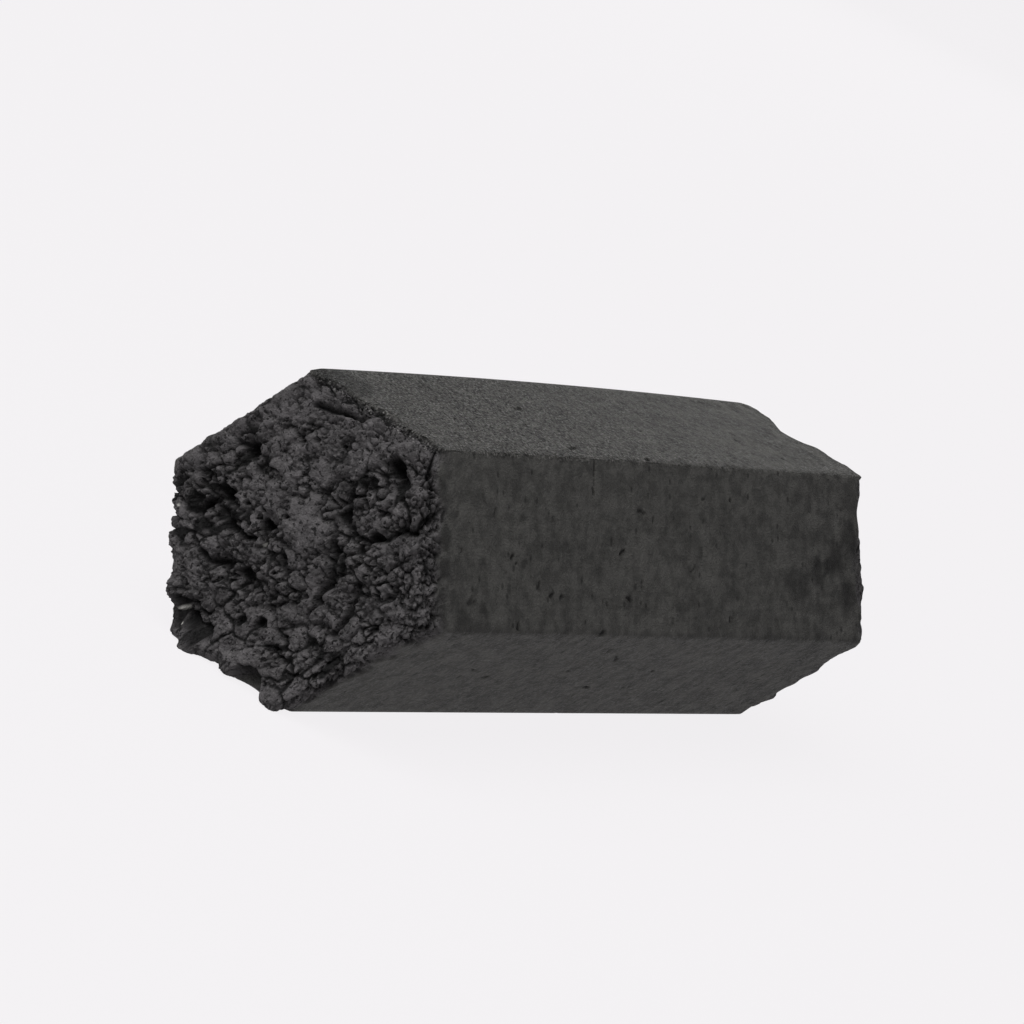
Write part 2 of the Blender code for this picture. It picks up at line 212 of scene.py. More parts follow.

# Painted shade, thick in the near end's holes, crevices and under its overhangs: place, reach and strength
SHADE_PATCHES = (
    (-10.6, 2.8, 2.1, 0.95),
    (-8.3, 2.4, 2.1, 0.95),
    (-6.0, 2.1, 1.7, 0.9),
    (8.4, 30.8, 2.6, 0.55),
    (7.0, 32.2, 1.5, 0.9),
    (2.4, 26.6, 1.4, 0.5),
    (5.6, 23.3, 1.6, 0.5),
    (-4.8, 17.2, 1.3, 0.6),
    (-4.2, 11.2, 1.6, 0.6),
    (-12.2, 25.4, 2.0, 0.5),
    (-13.6, 15.2, 1.6, 0.8),
)
# How firm the outlines of the painted shade patches, of the stains and of ash are
SHADE_AND_STAIN_GAIN = 1.8
ASH_GAIN = 1.6
# Pale grains of ash: place, reach and strength
ASH_GRAINS = (
    (-16.3, 13.9, 0.24, 0.9),
    (-11.2, 2.1, 0.28, 0.9),
    (-9.4, 1.1, 0.26, 0.8),
    (-4.0, 15.3, 0.4, 0.25),
)

# Soot stains on the long sides, and painted shade beside the near rim: side, (X, distance up the side), reach
# and strength
STAINS_AND_RIM_SHADE = (
    (FRONT, (34.4, 7.0), 3.2, 0.5),
    (FRONT, (39.6, 8.6), 2.8, 0.7),
    (FRONT, (43.4, 10.6), 3.0, 0.75),
    (FRONT, (38.4, 13.0), 2.2, 0.22),
    (FRONT, (46.8, 6.0), 3.4, 0.6),
    (FRONT, (47.6, 13.0), 3.4, 0.65),
    (FRONT, (47.2, 18.6), 3.0, 0.25),
    # Painted shade: a dark band beside the near rim, and a soft dark patch low by its lower corner, where
    # shade falls
    (FRONT, (-48.0, 2.6), 3.0, 0.6),
    (FRONT, (-48.2, 7.4), 2.6, 0.55),
    (FRONT, (-47.6, 11.6), 2.8, 0.6),
    (FRONT, (-48.0, 16.2), 2.6, 0.5),
    (FRONT, (-42.4, 0.8), 3.2, 0.4),
    (FRONT, (-38.6, 1.2), 2.4, 0.25),
    (FRONT, (-42.1, 3.3), 1.4, 0.35),
    (FRONT, (-38.1, 4.3), 1.3, 0.22),
    # Soot stains again from here on
    (FRONT, (-5.6, 4.5), 1.5, 0.35),
    (FRONT, (-18.0, 3.6), 3.4, 0.16),
    (FRONT, (10.8, 2.2), 2.2, 0.2),
    (FRONT, (16.0, 12.0), 2.0, 0.14),
    (TOP, (-46.0, 17.0), 6.0, 0.55),
    (TOP, (-30.0, 15.0), 4.0, 0.2),
    (UNDER_FRONT, (2.0, 14.6), 2.0, 0.15),
)

# Chips in the two rims: angle round the section, reach, and depth (below zero for a crumb that stands out)
CHIPS = {
    "near": ((180, 2.6, 0.9), (216, 2.8, 1.0), (226, 2.2, -0.9), (236, 2.6, 1.6), (254, 2.2, -0.6),
             (266, 1.9, 0.7), (283, 3.4, 3.3), (298, 2.6, -0.2), (34, 3.0, 0.6), (92, 3.0, 0.6),
             (118, 4.0, 0.5)),
    "far": ((96, 5.0, 1.2), (122, 3.6, 0.5), (45, 3.4, 0.8), (72, 3.2, -0.35), (20, 2.6, -0.5),
            (335, 3.6, -0.5), (300, 3.0, 0.6), (150, 4.2, 1.0), (205, 4.4, 1.2)),
}

# A chip deeper than this gets painted shade on its broken face, how far that painted shade reaches and how
# dark it is
DEEP_CHIP = 1.5 * MM
CHIP_SHADE = 1.3
CHIP_DARKNESS = 0.8

# Marks pressed or broken into the long sides. Each has its side, counted from the edge that the side
# starts at, the ends of its run as (X, distance up the side), its half width and its depth, in mm
SIDE_MARKS = (
    (FRONT, (-14.4, 17.0), (-14.2, 20.6), 0.16, 0.3),
    (FRONT, (-36.0, 13.8), (-35.9, 14.7), 0.26, 0.2),
    (FRONT, (-32.2, 8.9), (-31.9, 9.3), 0.28, 0.3),
    (FRONT, (-31.2, 8.2), (-31.2, 8.3), 0.24, 0.25),
    (FRONT, (-30.6, 0.4), (-30.5, 1.2), 0.3, 0.3),
    (FRONT, (-26.3, 5.4), (-26.2, 6.2), 0.22, 0.2),
    (FRONT, (-23.6, 4.4), (-22.8, 4.8), 0.26, 0.25),
    (FRONT, (-21.4, 4.3), (-21.0, 4.6), 0.24, 0.2),
    (FRONT, (-6.3, 4.7), (-5.3, 4.3), 0.22, 0.25),
    (FRONT, (-12.2, 0.0), (-11.4, 0.3), 0.3, 0.3),
    (FRONT, (-7.9, 10.0), (-7.0, 10.4), 0.24, 0.25),
    (FRONT, (-4.0, 15.4), (-2.6, 15.2), 0.24, 0.2),
    (FRONT, (8.4, 8.0), (9.6, 8.8), 0.13, 0.14),
    (FRONT, (11.0, 17.2), (11.6, 17.3), 0.26, 0.16),
    (FRONT, (-41.6, 3.2), (-40.8, 3.6), 0.4, 0.16),
    (UNDER_FRONT, (-22.6, 9.6), (-21.6, 9.8), 0.26, 0.25),
    (UNDER_FRONT, (3.5, 7.4), (4.5, 7.1), 0.26, 0.3),
    (UNDER_FRONT, (-6.4, 11.6), (-5.6, 11.4), 0.24, 0.2),
    (UNDER_FRONT, (-0.6, 15.6), (0.6, 14.6), 0.3, 0.2),
    (UNDER_FRONT, (-27.6, 11.6), (-27.0, 11.4), 0.22, 0.2),
    (TOP, (-16.6, 2.4), (-15.2, 2.7), 0.3, 0.25),
    (TOP, (-1.4, 0.6), (-0.4, 0.9), 0.3, 0.25),
    (TOP, (-15.4, 12.2), (-14.2, 12.6), 0.34, 0.2),
)
SCATTERED_MARKS = 80
SCATTER_SEED = 11
# No mark is longer than this along the stick
MARK_SPAN = 8.0 * MM
# The net is cut finer this many widths round a mark, and this much further
MARK_REACH = 1.6
MARK_BORDER = 0.9 * MM


class BriquetteForm(bpy.types.PropertyGroup):
    across_flats: FloatProperty(
        name="Across flats", description="Distance between two opposite sides", default=36 * MM,
        unit="LENGTH")
    length: FloatProperty(
        name="Length", description="Distance between the two flat ends, before the crumbs on them",
        default=101.2 * MM, unit="LENGTH")
    edge_power: FloatProperty(
        name="Edge sharpness", description="A higher value gives sharper long edges", default=180.0)
    net_steps: IntProperty(
        name="Net steps", description="Triangles along one side of the coarse hexagon net", default=29)
    middle_rings: IntProperty(
        name="Middle rings", description="Rings of the net along the smooth part of the sides", default=64)


class BriquetteLook(bpy.types.PropertyGroup):
    side_colour: FloatVectorProperty(
        name="Side colour", description="Pressed, smooth sides", subtype="COLOR",
        default=(0.0645, 0.063, 0.059))
    end_colour: FloatVectorProperty(
        name="End colour", description="Crumbly broken ends", subtype="COLOR",
        default=(0.087, 0.0822, 0.0845))
    # Painted shade: this near-black goes into gaps, pores, holes, crevices, deep chips, marks and pits where
    # shade falls, as well as into real soot stains, smears and specks
    soot_and_shade_colour: FloatVectorProperty(
        name="Soot colour", description="Deep in crevices and pits", subtype="COLOR",
        default=(0.002, 0.002, 0.002))
    # Painted glints: these pale flecks sit mostly on the upper side towards the near end, where light grazes,
    # and a few on the crumbly ends as ash
    ash_and_glint_colour: FloatVectorProperty(
        name="Fleck colour", description="Ash flecks and bright grains", subtype="COLOR",
        default=(0.24, 0.235, 0.225))
    ash_colour: FloatVectorProperty(
        name="Ash colour", description="The few pale grains in the near end", subtype="COLOR",
        default=(0.5, 0.49, 0.46))
    side_roughness: FloatProperty(
        name="Side roughness", description="Roughness of the smooth sides", default=0.66, subtype="FACTOR")
    end_roughness: FloatProperty(
        name="End roughness", description="Roughness of the crumbly ends", default=0.85, subtype="FACTOR")
    shine: FloatProperty(
        name="Shine", description="Strength of the dull reflection", default=0.22, subtype="FACTOR")
    relief: FloatProperty(
        name="Powder relief", description="Height of the fine powder grains", default=0.14 * MM,
        unit="LENGTH")


class StudioLook(bpy.types.PropertyGroup):
    floor_colour: FloatVectorProperty(
        name="Floor colour", description="Pale table", subtype="COLOR", default=(0.913, 0.896, 0.913))
    floor_glow: FloatProperty(
        name="Floor glow", description="Brightness that the floor gives out itself, like a light table",
        default=0.94)
    floor_bounce: FloatProperty(
        name="Floor bounce", description="How much of that glow falls on the briquette", default=0.6,
        subtype="FACTOR")
    floor_size: FloatProperty(
        name="Floor size", description="Side of the square floor", default=8.0, unit="LENGTH")
    sky_strength: FloatProperty(
        name="Room light", description="Strength of the soft light from all round", default=0.24)
    lamp_power: FloatProperty(
        name="Lamp power", description="Power of the soft box overhead, in watts", default=14.5)
    lamp_size: FloatProperty(
        name="Lamp size", description="Side of the square soft box", default=1.2, unit="LENGTH")
    lamp_place: FloatVectorProperty(
        name="Lamp place", description="Where the soft box hangs", subtype="TRANSLATION",
        default=(-0.6, 0.2, 1.0))
    back_power: FloatProperty(
        name="Back light power", description="Power of the low light behind the far end, in watts",
        default=0.25)
    back_size: FloatProperty(
        name="Back light size", description="Side of the square back light", default=0.25, unit="LENGTH")
    back_place: FloatVectorProperty(
        name="Back light place", description="Where the back light stands", subtype="TRANSLATION",
        default=(0.5, 0.3, 0.16))
    camera_place: FloatVectorProperty(
        name="Camera place", description="Where the camera stands", subtype="TRANSLATION",
        default=(-0.69359, -0.40094, 0.2248))
    camera_azimuth: FloatProperty(
        name="Camera azimuth", description="Turn about Z from looking along +Y",
        default=math.radians(-59.67), subtype="ANGLE")
    camera_elevation: FloatProperty(
        name="Camera elevation", description="How far the camera looks down",
        default=math.radians(14.23), subtype="ANGLE")
    camera_roll: FloatProperty(
        name="Camera roll", description="Turn about its own axis: the stick looks as if it stood on an edge",
        default=math.radians(25.78), subtype="ANGLE")
    camera_lens: FloatProperty(
        name="Lens", description="Focal length in mm on a sensor 36 mm wide", default=233.1)


def clamp(value):
    return min(1.0, max(0.0, value))


def bell(distance, reach):
    """1 at the middle, falling smoothly to 0 at the reach."""
    return max(0.0, 1.0 - (distance / reach) ** 2) ** 2


@functools.lru_cache(maxsize=None)
def section_edges(share):
    """The six long edges in the section at this share of the length, and each face's outward line."""
    form = bpy.context.scene.briquette_form
    points = []
    for name, angle, (across, up), bow, near, far in EDGES:
        turn = math.radians(angle)
        reach = form.across_flats / math.sqrt(3) + bow * MM * (1 - (2 * share - 1) ** 2)
        point = Vector((math.cos(turn) * reach, math.sin(turn) * reach)) + Vector((across, up)) * MM
        if up == 0.0:
            point.y = -form.across_flats / 2
        points.append(point)
    lines = []
    for index, start in enumerate(points):
        run = (points[(index + 1) % SIDES] - start).normalized()
        outward = Vector((run.y, -run.x))
        lines.append((outward, outward.dot(start)))
    return points, lines


def section_point(index, along, share):
    """The rounded outline's point and outward direction, this far from one edge towards the next."""
    power = bpy.context.scene.briquette_form.edge_power
    points, lines = section_edges(round(share, 3))
    flat = points[index % SIDES].lerp(points[(index + 1) % SIDES], along)
    ray = flat.normalized()
    pulls = [(max(0.0, ray.dot(outward) / distance), outward) for outward, distance in lines]
    most = max(pull for pull, outward in pulls)
    weights = [(pull / most) ** power for pull, outward in pulls]
    reach = 1.0 / (most * sum(weights) ** (1.0 / power))
    outward = sum((weight * side for weight, (pull, side) in zip(weights, pulls)), Vector((0.0, 0.0)))
    return ray * reach, outward.normalized()


def rim_x(index, along, end):
    """Where the sharp rim would lie along X, on this side of the hexagon."""
    column = 4 if end == "near" else 5
    first = EDGES[index % SIDES][column]
    second = EDGES[(index + 1) % SIDES][column]
    flat = bpy.context.scene.briquette_form.length / 2 + CRUMB_SPARE[end]
    out = flat + (first + (second - first) * along) * MM
    return -out if end == "near" else out


def smooth_end(index, along, inward, end):
    """A point of the smooth end and its outward direction. Inward is 0 at the rim and 1 in the middle."""
    form = bpy.context.scene.briquette_form
    rim, outward = section_point(index, along, 0.0 if end == "near" else 1.0)
    half = form.across_flats / 2
    gap = inward * half
    turn = math.pi / 4 * clamp(1.0 - gap / RIM_ROUNDING)
    towards = -1.0 if end == "near" else 1.0
    reach = rim.length * (1.0 - inward)
    if gap < RIM_ROUNDING:
        reach = rim.length * (1.0 - RIM_ROUNDING * (1.0 - math.sin(turn)) / half)
    section = rim.normalized() * reach
    flat = towards * (form.length / 2 + CRUMB_SPARE[end])
    rounding = towards * RIM_ROUNDING * (1.0 - math.cos(turn))
    x = flat + (rim_x(index, along, end) - flat) * (1.0 - inward) - rounding
    return Vector((x, section.x, section.y)), normal_of(towards * math.cos(turn), outward * math.sin(turn))


def smooth_side(index, along, zone, value):
    """A point of the smooth side and its outward direction. Its zone is near or far, with the distance from
    that rim, or middle, with the share of the way between the two."""
    near_x, far_x = rim_x(index, along, "near"), rim_x(index, along, "far")
    if zone == "middle":
        start = near_x + NEAR_RINGS[-1]
        x = start + (far_x - FAR_RINGS[-1] - start) * value
        point, outward = section_point(index, along, (x - near_x) / (far_x - near_x))
        return Vector((x, point.x, point.y)), normal_of(0.0, outward)
    towards, rim = (-1.0, near_x) if zone == "near" else (1.0, far_x)
    x = rim - towards * value
    point, outward = section_point(index, along, (x - near_x) / (far_x - near_x))
    turn = math.pi / 4 * clamp(1.0 - value / RIM_ROUNDING)
    if value < RIM_ROUNDING:
        x = rim - towards * RIM_ROUNDING * (1.0 - math.sin(turn))
        point = point - outward * RIM_ROUNDING * (1.0 - math.cos(turn))
    return Vector((x, point.x, point.y)), normal_of(towards * math.sin(turn), outward * math.cos(turn))


def normal_of(axial, radial):
    return Vector((axial, radial.x, radial.y)).normalized()


def crumb_relief(place, openness):
    """How far the crumbly surface lies under its smooth form, and how deep in a gap or pore it is, painted as
    shade.
    """
    reach, height = SWELL
    depth = CRUMB_LEVEL + height * noise.noise(place / reach)
    darkest = 0.0
    for number, (size, gap_depth, gap_width, step) in enumerate(CRUMBS):
        size = size * MM
        bent = place + noise.noise_vector(place / (size * CRUMB_BEND[0])) * size * CRUMB_BEND[1]
        distances, centres = noise.voronoi(bent / size)
        border = (distances[1] - distances[0]) * size / 2
        patchy = noise.noise(place / (size * PATCH_SIZE) + Vector((2.0 + number, 9.0, 4.0)))
        opened = ease(openness + PATCH_CONTRAST * patchy)
        gap = opened * (1.0 - ease(border / (gap_width * (0.6 + 0.6 * opened) * MM)))
        level = step * noise.cell(centres[0] * 7.3)
        depth += (gap_depth * gap + level * (0.4 + 0.6 * opened)) * MM
        depth += CRUMB_DOME * size * min(1.0, distances[0] / 0.75) ** 2
        # Painted shade: the gap share that is later painted near-black
        darkest = max(darkest, gap * (1.0 - 0.12 * number))
    pore = pore_share(place, openness)
    return depth + PORE_DEPTH * pore, max(darkest, pore)


def pore_share(place, openness):
    """1 in the middle of one of the small open pores, 0 outside them."""
    size, pull = PORE_BEND
    bent = place + noise.noise_vector(place / size) * pull
    distances, centres = noise.voronoi(bent / PORE_SPACING)
    if noise.cell(centres[0] * 5.1) < PORE_LEAST:
        return 0.0
    patchy = ease(openness + 1.4 * noise.noise(place / PORE_PATCHES + Vector((7.0, 1.0, 5.0))))
    return patchy * ease(2.2 * (1.0 - distances[0] * PORE_SPACING / PORE_WIDTH))


def ease(value):
    """A smooth rise from 0 to 1."""
    value = clamp(value)
    return value * value * (3.0 - 2.0 * value)


def run_distance(point, start, end):
    """The distance of a point from a straight run."""
    run = end - start
    along = clamp((point - start).dot(run) / max(run.length_squared, 1e-12))
    return (point - start - run * along).length


def near_bell(here, across, height, reach):
    """A bell round a place of the near end that is given in mm."""
    if abs(here.x - across * MM) >= reach * MM:
        return 0.0
    return bell((here - Vector((across, height)) * MM).length, reach * MM)


@functools.lru_cache(maxsize=None)
def crevice_runs():
    """Each crevice of the near end as its straight runs."""
    routes = [[Vector(point) * MM for point in route] for route in NEAR_CREVICES]
    return [list(zip(points, points[1:])) for points in routes]


def near_forms(across, up):
    """Depth of the near end's own hollows there, less its lumps' height, and how deep in a hole or crevice it
    is, painted as shade.
    """
    here = Vector((across, up))
    depth = 0.0
    dark = 0.0
    for a, height, reach, fall in NEAR_HOLLOWS:
        depth += fall * MM * near_bell(here, a, height, reach)
    for a, height, reach, rise in NEAR_LUMPS:
        depth -= rise * MM * near_bell(here, a, height, reach)
    for a, height, reach, fall in NEAR_HOLES:
        share = 1.0 - (here - Vector((a, height)) * MM).length / (reach * MM)
        depth += fall * MM * ease(HOLE_STEEPNESS * share)
        dark = max(dark, ease(HOLE_SHADE * share))
    for runs in crevice_runs():
        nearest = min(run_distance(here, start, end) for start, end in runs)
        inside = bell(nearest, CREVICE_WIDTH)
        depth += CREVICE_DEPTH * inside
        dark = max(dark, inside)
    return depth, dark


def patch_share(patches, across, up):
    """1 in the middle of one of these patches of the near end, 0 outside them."""
    here = Vector((across, up))
    return max(near_bell(here, a, height, reach) for a, height, reach in patches)


def patch_strength(patches, gain, across, up):
    """The strength of the strongest of these patches there. A higher gain gives them a firmer outline."""
    here = Vector((across, up))
    return max(strength * ease(gain * near_bell(here, a, height, reach))
               for a, height, reach, strength in patches)


def firm_relief(relief, place):
    """The relief beside the near rim, evened out along the sides where the rim has kept its edge."""
    points, lines = section_edges(0.0)
    for index, firmness, level in FIRM_SIDES:
        outward, distance = lines[index]
        gap = distance - Vector((place.y, place.z)).dot(outward)
        relief += (level - relief) * firmness * bell(gap, FIRM_REACH)
    return relief


def far_share(place):
    """How much of the crumb relief is left at this place of the far end."""
    points, lines = section_edges(1.0)
    gap = min(distance - Vector((place.y, place.z)).dot(outward) for outward, distance in lines)
    return FAR_RIM_RELIEF + (FAR_MIDDLE_RELIEF - FAR_RIM_RELIEF) * ease(gap / FAR_CALM_REACH)


@functools.lru_cache(maxsize=None)
def chip_list(end):
    """Each chip of a rim as its centre, the way it pushes, and its reach."""
    towards = -1.0 if end == "near" else 1.0
    made = []
    for angle, reach, depth in CHIPS[end]:
        index, share = divmod(angle / SIDE_TURN, 1.0)
        rim, outward = section_point(int(index), share, 0.5)
        centre = Vector((rim_x(int(index), share, end), rim.x, rim.y))
        slant = Vector((towards, outward.x, outward.y)).normalized()
        made.append((centre, -slant * depth * MM, reach * MM))
    return made


def chip_shade(place):
    """How much painted shade lies on the broken face of a deep chip in the near rim."""
    return max(ease(CHIP_SHADE * bell((place - centre).length, reach))
               for centre, push, reach in chip_list("near") if push.length > DEEP_CHIP)


def rim_chips(place, end):
    move = Vector((0.0, 0.0, 0.0))
    for centre, push, reach in chip_list(end):
        move += push * bell((place - centre).length, reach)
    return move


def side_place(side, x, up_side):
    """The point on a side at this X, this far up from the edge that the side starts at."""
    points, lines = section_edges(0.5)
    width = (points[(side + 1) % SIDES] - points[side]).length
    point, outward = section_point(side, clamp(up_side * MM / width), 0.5)
    return Vector((x * MM, point.x, point.y))


@functools.lru_cache(maxsize=None)
def side_marks():
    """All marks on the long sides: the listed ones and the scattered small ones."""
    marks = [(side_place(side, *start), side_place(side, *stop), width * MM, depth * MM)
             for side, start, stop, width, depth in SIDE_MARKS]
    draw = random.Random(SCATTER_SEED)
    for count in range(SCATTERED_MARKS):
        side, x, up_side = draw.randrange(SIDES), draw.uniform(-44, 46), draw.uniform(1, 19)
        slide, rise = draw.uniform(-0.1, 0.1), draw.uniform(0.0, 0.6)
        width, depth = draw.uniform(0.16, 0.28), draw.uniform(0.1, 0.24)
        start, stop = side_place(side, x, up_side), side_place(side, x + slide, up_side + rise)
        marks.append((start, stop, width * MM, depth * MM))
    return marks


@functools.lru_cache(maxsize=None)
def stain_and_shade_list():
    return [(side_place(side, *middle), reach * MM, strength) for side, middle, reach, strength in STAINS_AND_RIM_SHADE]


def stain_and_shade_share(place):
    """How dark a side is there, from soot stains and from painted shade by the near rim, with a torn outline
    to each.
    """
    size, pull = STAIN_AND_SHADE_TEAR
    torn = place + noise.noise_vector(place / size) * pull
    return max(strength * ease(SHADE_AND_STAIN_GAIN * bell((torn - middle).length, reach))
               for middle, reach, strength in stain_and_shade_list())


def mark_depth(place):
    size, pull = RAGGED_MARK
    torn = place + noise.noise_vector(place / size) * pull
    depth = 0.0
    for start, stop, width, fall in side_marks():
        if abs(place.x - start.x) < MARK_SPAN:
            depth = max(depth, fall * bell(run_distance(torn, start, stop), width * 1.5))
    return depth


NEAR_RINGS = [distance * MM for distance in (0.7, 1.4, 2.2, 3.2, 4.4, 6.0, 7.4)]
FAR_RINGS = [distance * MM for distance in (0.7, 1.5, 2.4, 3.6, 5.0)]
NEAR_CUTS = 3
FAR_CUTS = 1
MARK_CUTS = 4


@functools.lru_cache(maxsize=None)
def net_levels():
    """The zone and value of every ring, from the near rim to the far rim."""
    count = bpy.context.scene.briquette_form.middle_rings
    near = [("near", distance) for distance in [0.0] + NEAR_RINGS]
    middle = [("middle", (step + 1) / (count + 1)) for step in range(count)]
    far = [("far", distance) for distance in reversed([0.0] + FAR_RINGS)]
    return near + middle + far


def level_value(level):
    """The zone and value at a level, which may lie between two rings."""
    levels = net_levels()
    low = min(int(level + 1e-4), len(levels) - 2)
    share = level - low
    (zone, value), (next_zone, next_value) = levels[low], levels[low + 1]
    if zone != next_zone:
        value = 0.0 if next_zone == "middle" else value
        next_value = next_value if next_zone == "middle" else 1.0
        zone = "middle"
    return zone, value + (next_value - value) * share


def push_direction(place, towards, gap, on_end):
    """The way in which crumbs are carved: along the length on the ends, towards the middle line on the sides,
    and slowly turning round the rim, so that neighbouring points never cross."""
    turn = math.pi / 4 * clamp(1.0 - gap / PUSH_TURN)
    ray = Vector((place.y, place.z)).normalized()
    along, outward = math.cos(turn), math.sin(turn)
    if not on_end:
        along, outward = outward, along
    radial = ray * outward
    return Vector((towards * along, radial.x, radial.y))


def smooth_point(co):
    """A net point's smooth place, its outward and carving directions, its zone, and how crumbly it is."""
    turn = math.degrees(math.atan2(co.y, co.x)) % 360.0
    index = int(turn // SIDE_TURN) % SIDES
    local = math.radians(turn - index * SIDE_TURN)
    outer = math.cos(math.radians(SIDE_TURN / 2)) / math.cos(local - math.radians(SIDE_TURN / 2))
    along = clamp(math.sin(local) * outer / math.sin(math.radians(SIDE_TURN)))
    last = len(net_levels()) - 1
    if co.z < 1e-4 or co.z > last - 1e-4:
        end, towards = ("near", -1.0) if co.z < 0.5 else ("far", 1.0)
        inward = clamp(1.0 - math.hypot(co.x, co.y) / outer)
        place, normal = smooth_end(index, along, inward, end)
        half = bpy.context.scene.briquette_form.across_flats / 2
        return place, normal, push_direction(place, towards, inward * half, True), end, 1.0
    zone, value = level_value(co.z)
    place, normal = smooth_side(index, along, zone, value)
    if zone == "middle":
        return place, normal, normal, zone, 0.0
    patchy = (1.0 + 1.1 * noise.noise(place / FADE_PATCHES)) * (1.0 - UPPER_FADE * upper_share(normal))
    push = push_direction(place, -1.0 if zone == "near" else 1.0, value, False)
    return place, normal, push, zone, ease(1.5 * (1.0 - value / (FADE[zone] * patchy)))


def upper_share(normal):
    """1 on the upper side of the stick, 0 on the others."""
    return ease((normal.z - 0.7) / 0.25)


def finished_point(co):
    """The real place of a net point, with how crumbly it is, how much painted shade and stain lies there, how
    much ash it is and whether it lies on the upper side."""
    half = bpy.context.scene.briquette_form.across_flats / 2
    place, normal, push, zone, rough = smooth_point(co)
    axial = abs(normal.x)
    hollow, dark, openness = 0.0, 0.0, OPENNESS
    if zone == "near":
        size, pull = RAGGED
        torn = place + noise.noise_vector(place / size) * pull
        facing = clamp(axial * FACING_GAIN)
        hollow, dark = near_forms(torn.y, torn.z + half)
        hollow, dark = hollow * facing, dark * facing
        openness += OPEN_GAIN * patch_share(OPEN_PATCHES, place.y, place.z + half)
        openness -= CALM_LOSS * patch_share(CALM_PATCHES, place.y, place.z + half) * facing
    relief, gap = crumb_relief(place, openness)
    relief = max(LEAST_RELIEF, relief - SIDE_LEVEL * (1.0 - axial))
    if zone == "near":
        relief = firm_relief(relief, place)
    elif zone == "far":
        relief = FAR_LEVEL + (relief - FAR_LEVEL) * far_share(place)
    mark = mark_depth(place) * (1.0 - rough)
    depth = relief * rough + hollow + mark
    # Painted shade: gaps, pores, holes, crevices, deep chips and deep marks are painted dark where shade
    # falls, and real stains join them
    painted_shade = max(ease(GAP_SHADE * gap - GAP_SHADE_START) * clamp(1.5 * rough), dark)
    if zone == "near":
        shade_patch = patch_strength(SHADE_PATCHES, SHADE_AND_STAIN_GAIN, torn.y, torn.z + half)
        painted_shade = max(painted_shade, CHIP_DARKNESS * chip_shade(place), shade_patch)
    painted_shade_and_stain = clamp(max(painted_shade, mark / FULL_SHADE_MARK, stain_and_shade_share(place) * (1.0 - rough)))
    ash = patch_strength(ASH_GRAINS, ASH_GAIN, place.y, place.z + half) if zone == "near" else 0.0
    place = place - push * depth + rim_chips(place, "near" if place.x < 0 else "far")
    height = max(0.0, place.z + half)
    place = Vector((place.x - MIDDLE_X, -place.y - MIDDLE_Y, height))
    return place, rough, painted_shade_and_stain, ash, upper_share(normal)


def hexagon_net(bm, steps):
    """A flat hexagon with a corner on the first direction, cut into a net of equal triangles."""
    bmesh.ops.create_circle(bm, cap_ends=True, cap_tris=True, segments=SIDES, radius=1.0)
    turn = Matrix.Rotation(math.radians(SIDE_TURN / 2), 3, "Z")
    bmesh.ops.rotate(bm, verts=bm.verts[:], cent=(0.0, 0.0, 0.0), matrix=turn)
    bmesh.ops.subdivide_edges(bm, edges=bm.edges[:], cuts=steps - 1, use_grid_fill=True)


def stick_net(bm, steps, levels):
    """The net of the whole stick: both ends and a band of faces between each level and the next."""
    hexagon_net(bm, steps)
    copy = bmesh.ops.duplicate(bm, geom=bm.verts[:] + bm.edges[:] + bm.faces[:])
    far_verts = [item for item in copy["geom"] if isinstance(item, bmesh.types.BMVert)]
    bmesh.ops.translate(bm, verts=far_verts, vec=(0.0, 0.0, levels))
    rim = [edge for edge in bm.edges if edge.is_boundary and edge.verts[0].co.z < 0.5]
    for level in range(levels):
        grown = bmesh.ops.extrude_edge_only(bm, edges=rim)["geom"]
        moved = {item for item in grown if isinstance(item, bmesh.types.BMVert)}
        rim = [item for item in grown if isinstance(item, bmesh.types.BMEdge) and set(item.verts) <= moved]
        bmesh.ops.translate(bm, verts=list(moved), vec=(0.0, 0.0, 1.0))
    bmesh.ops.remove_doubles(bm, verts=bm.verts[:], dist=0.0001)
    bmesh.ops.recalc_face_normals(bm, faces=bm.faces[:])


def refine_ends(bm, levels):
    """Cuts the net finer at the two ends and in the crumbly bands beside them."""
    near_edges = [edge for edge in bm.edges if all(vert.co.z < len(NEAR_RINGS) - 0.5 for vert in edge.verts)]
    bmesh.ops.subdivide_edges(bm, edges=near_edges, cuts=NEAR_CUTS, use_grid_fill=True)
    far_first = levels - len(FAR_RINGS) + 0.5
    far_edges = [edge for edge in bm.edges if all(vert.co.z > far_first for vert in edge.verts)]
    bmesh.ops.subdivide_edges(bm, edges=far_edges, cuts=FAR_CUTS, use_grid_fill=True)


def refine_marks(bm):
    """Cuts the net of the smooth sides finer in and beside each mark."""
    first, last = len(NEAR_RINGS) - 0.5, len(net_levels()) - len(FAR_RINGS) - 0.5
    chosen = set()
    for vert in bm.verts:
        if first < vert.co.z < last and near_mark(smooth_point(vert.co)[0]):
            chosen.add(vert)
    edges = [edge for edge in bm.edges if edge.verts[0] in chosen or edge.verts[1] in chosen]
    bmesh.ops.subdivide_edges(bm, edges=edges, cuts=MARK_CUTS, use_grid_fill=True)


def near_mark(place):
    return any(abs(place.x - start.x) < MARK_SPAN
               and run_distance(place, start, stop) < width * MARK_REACH + MARK_BORDER
               for start, stop, width, depth in side_marks())


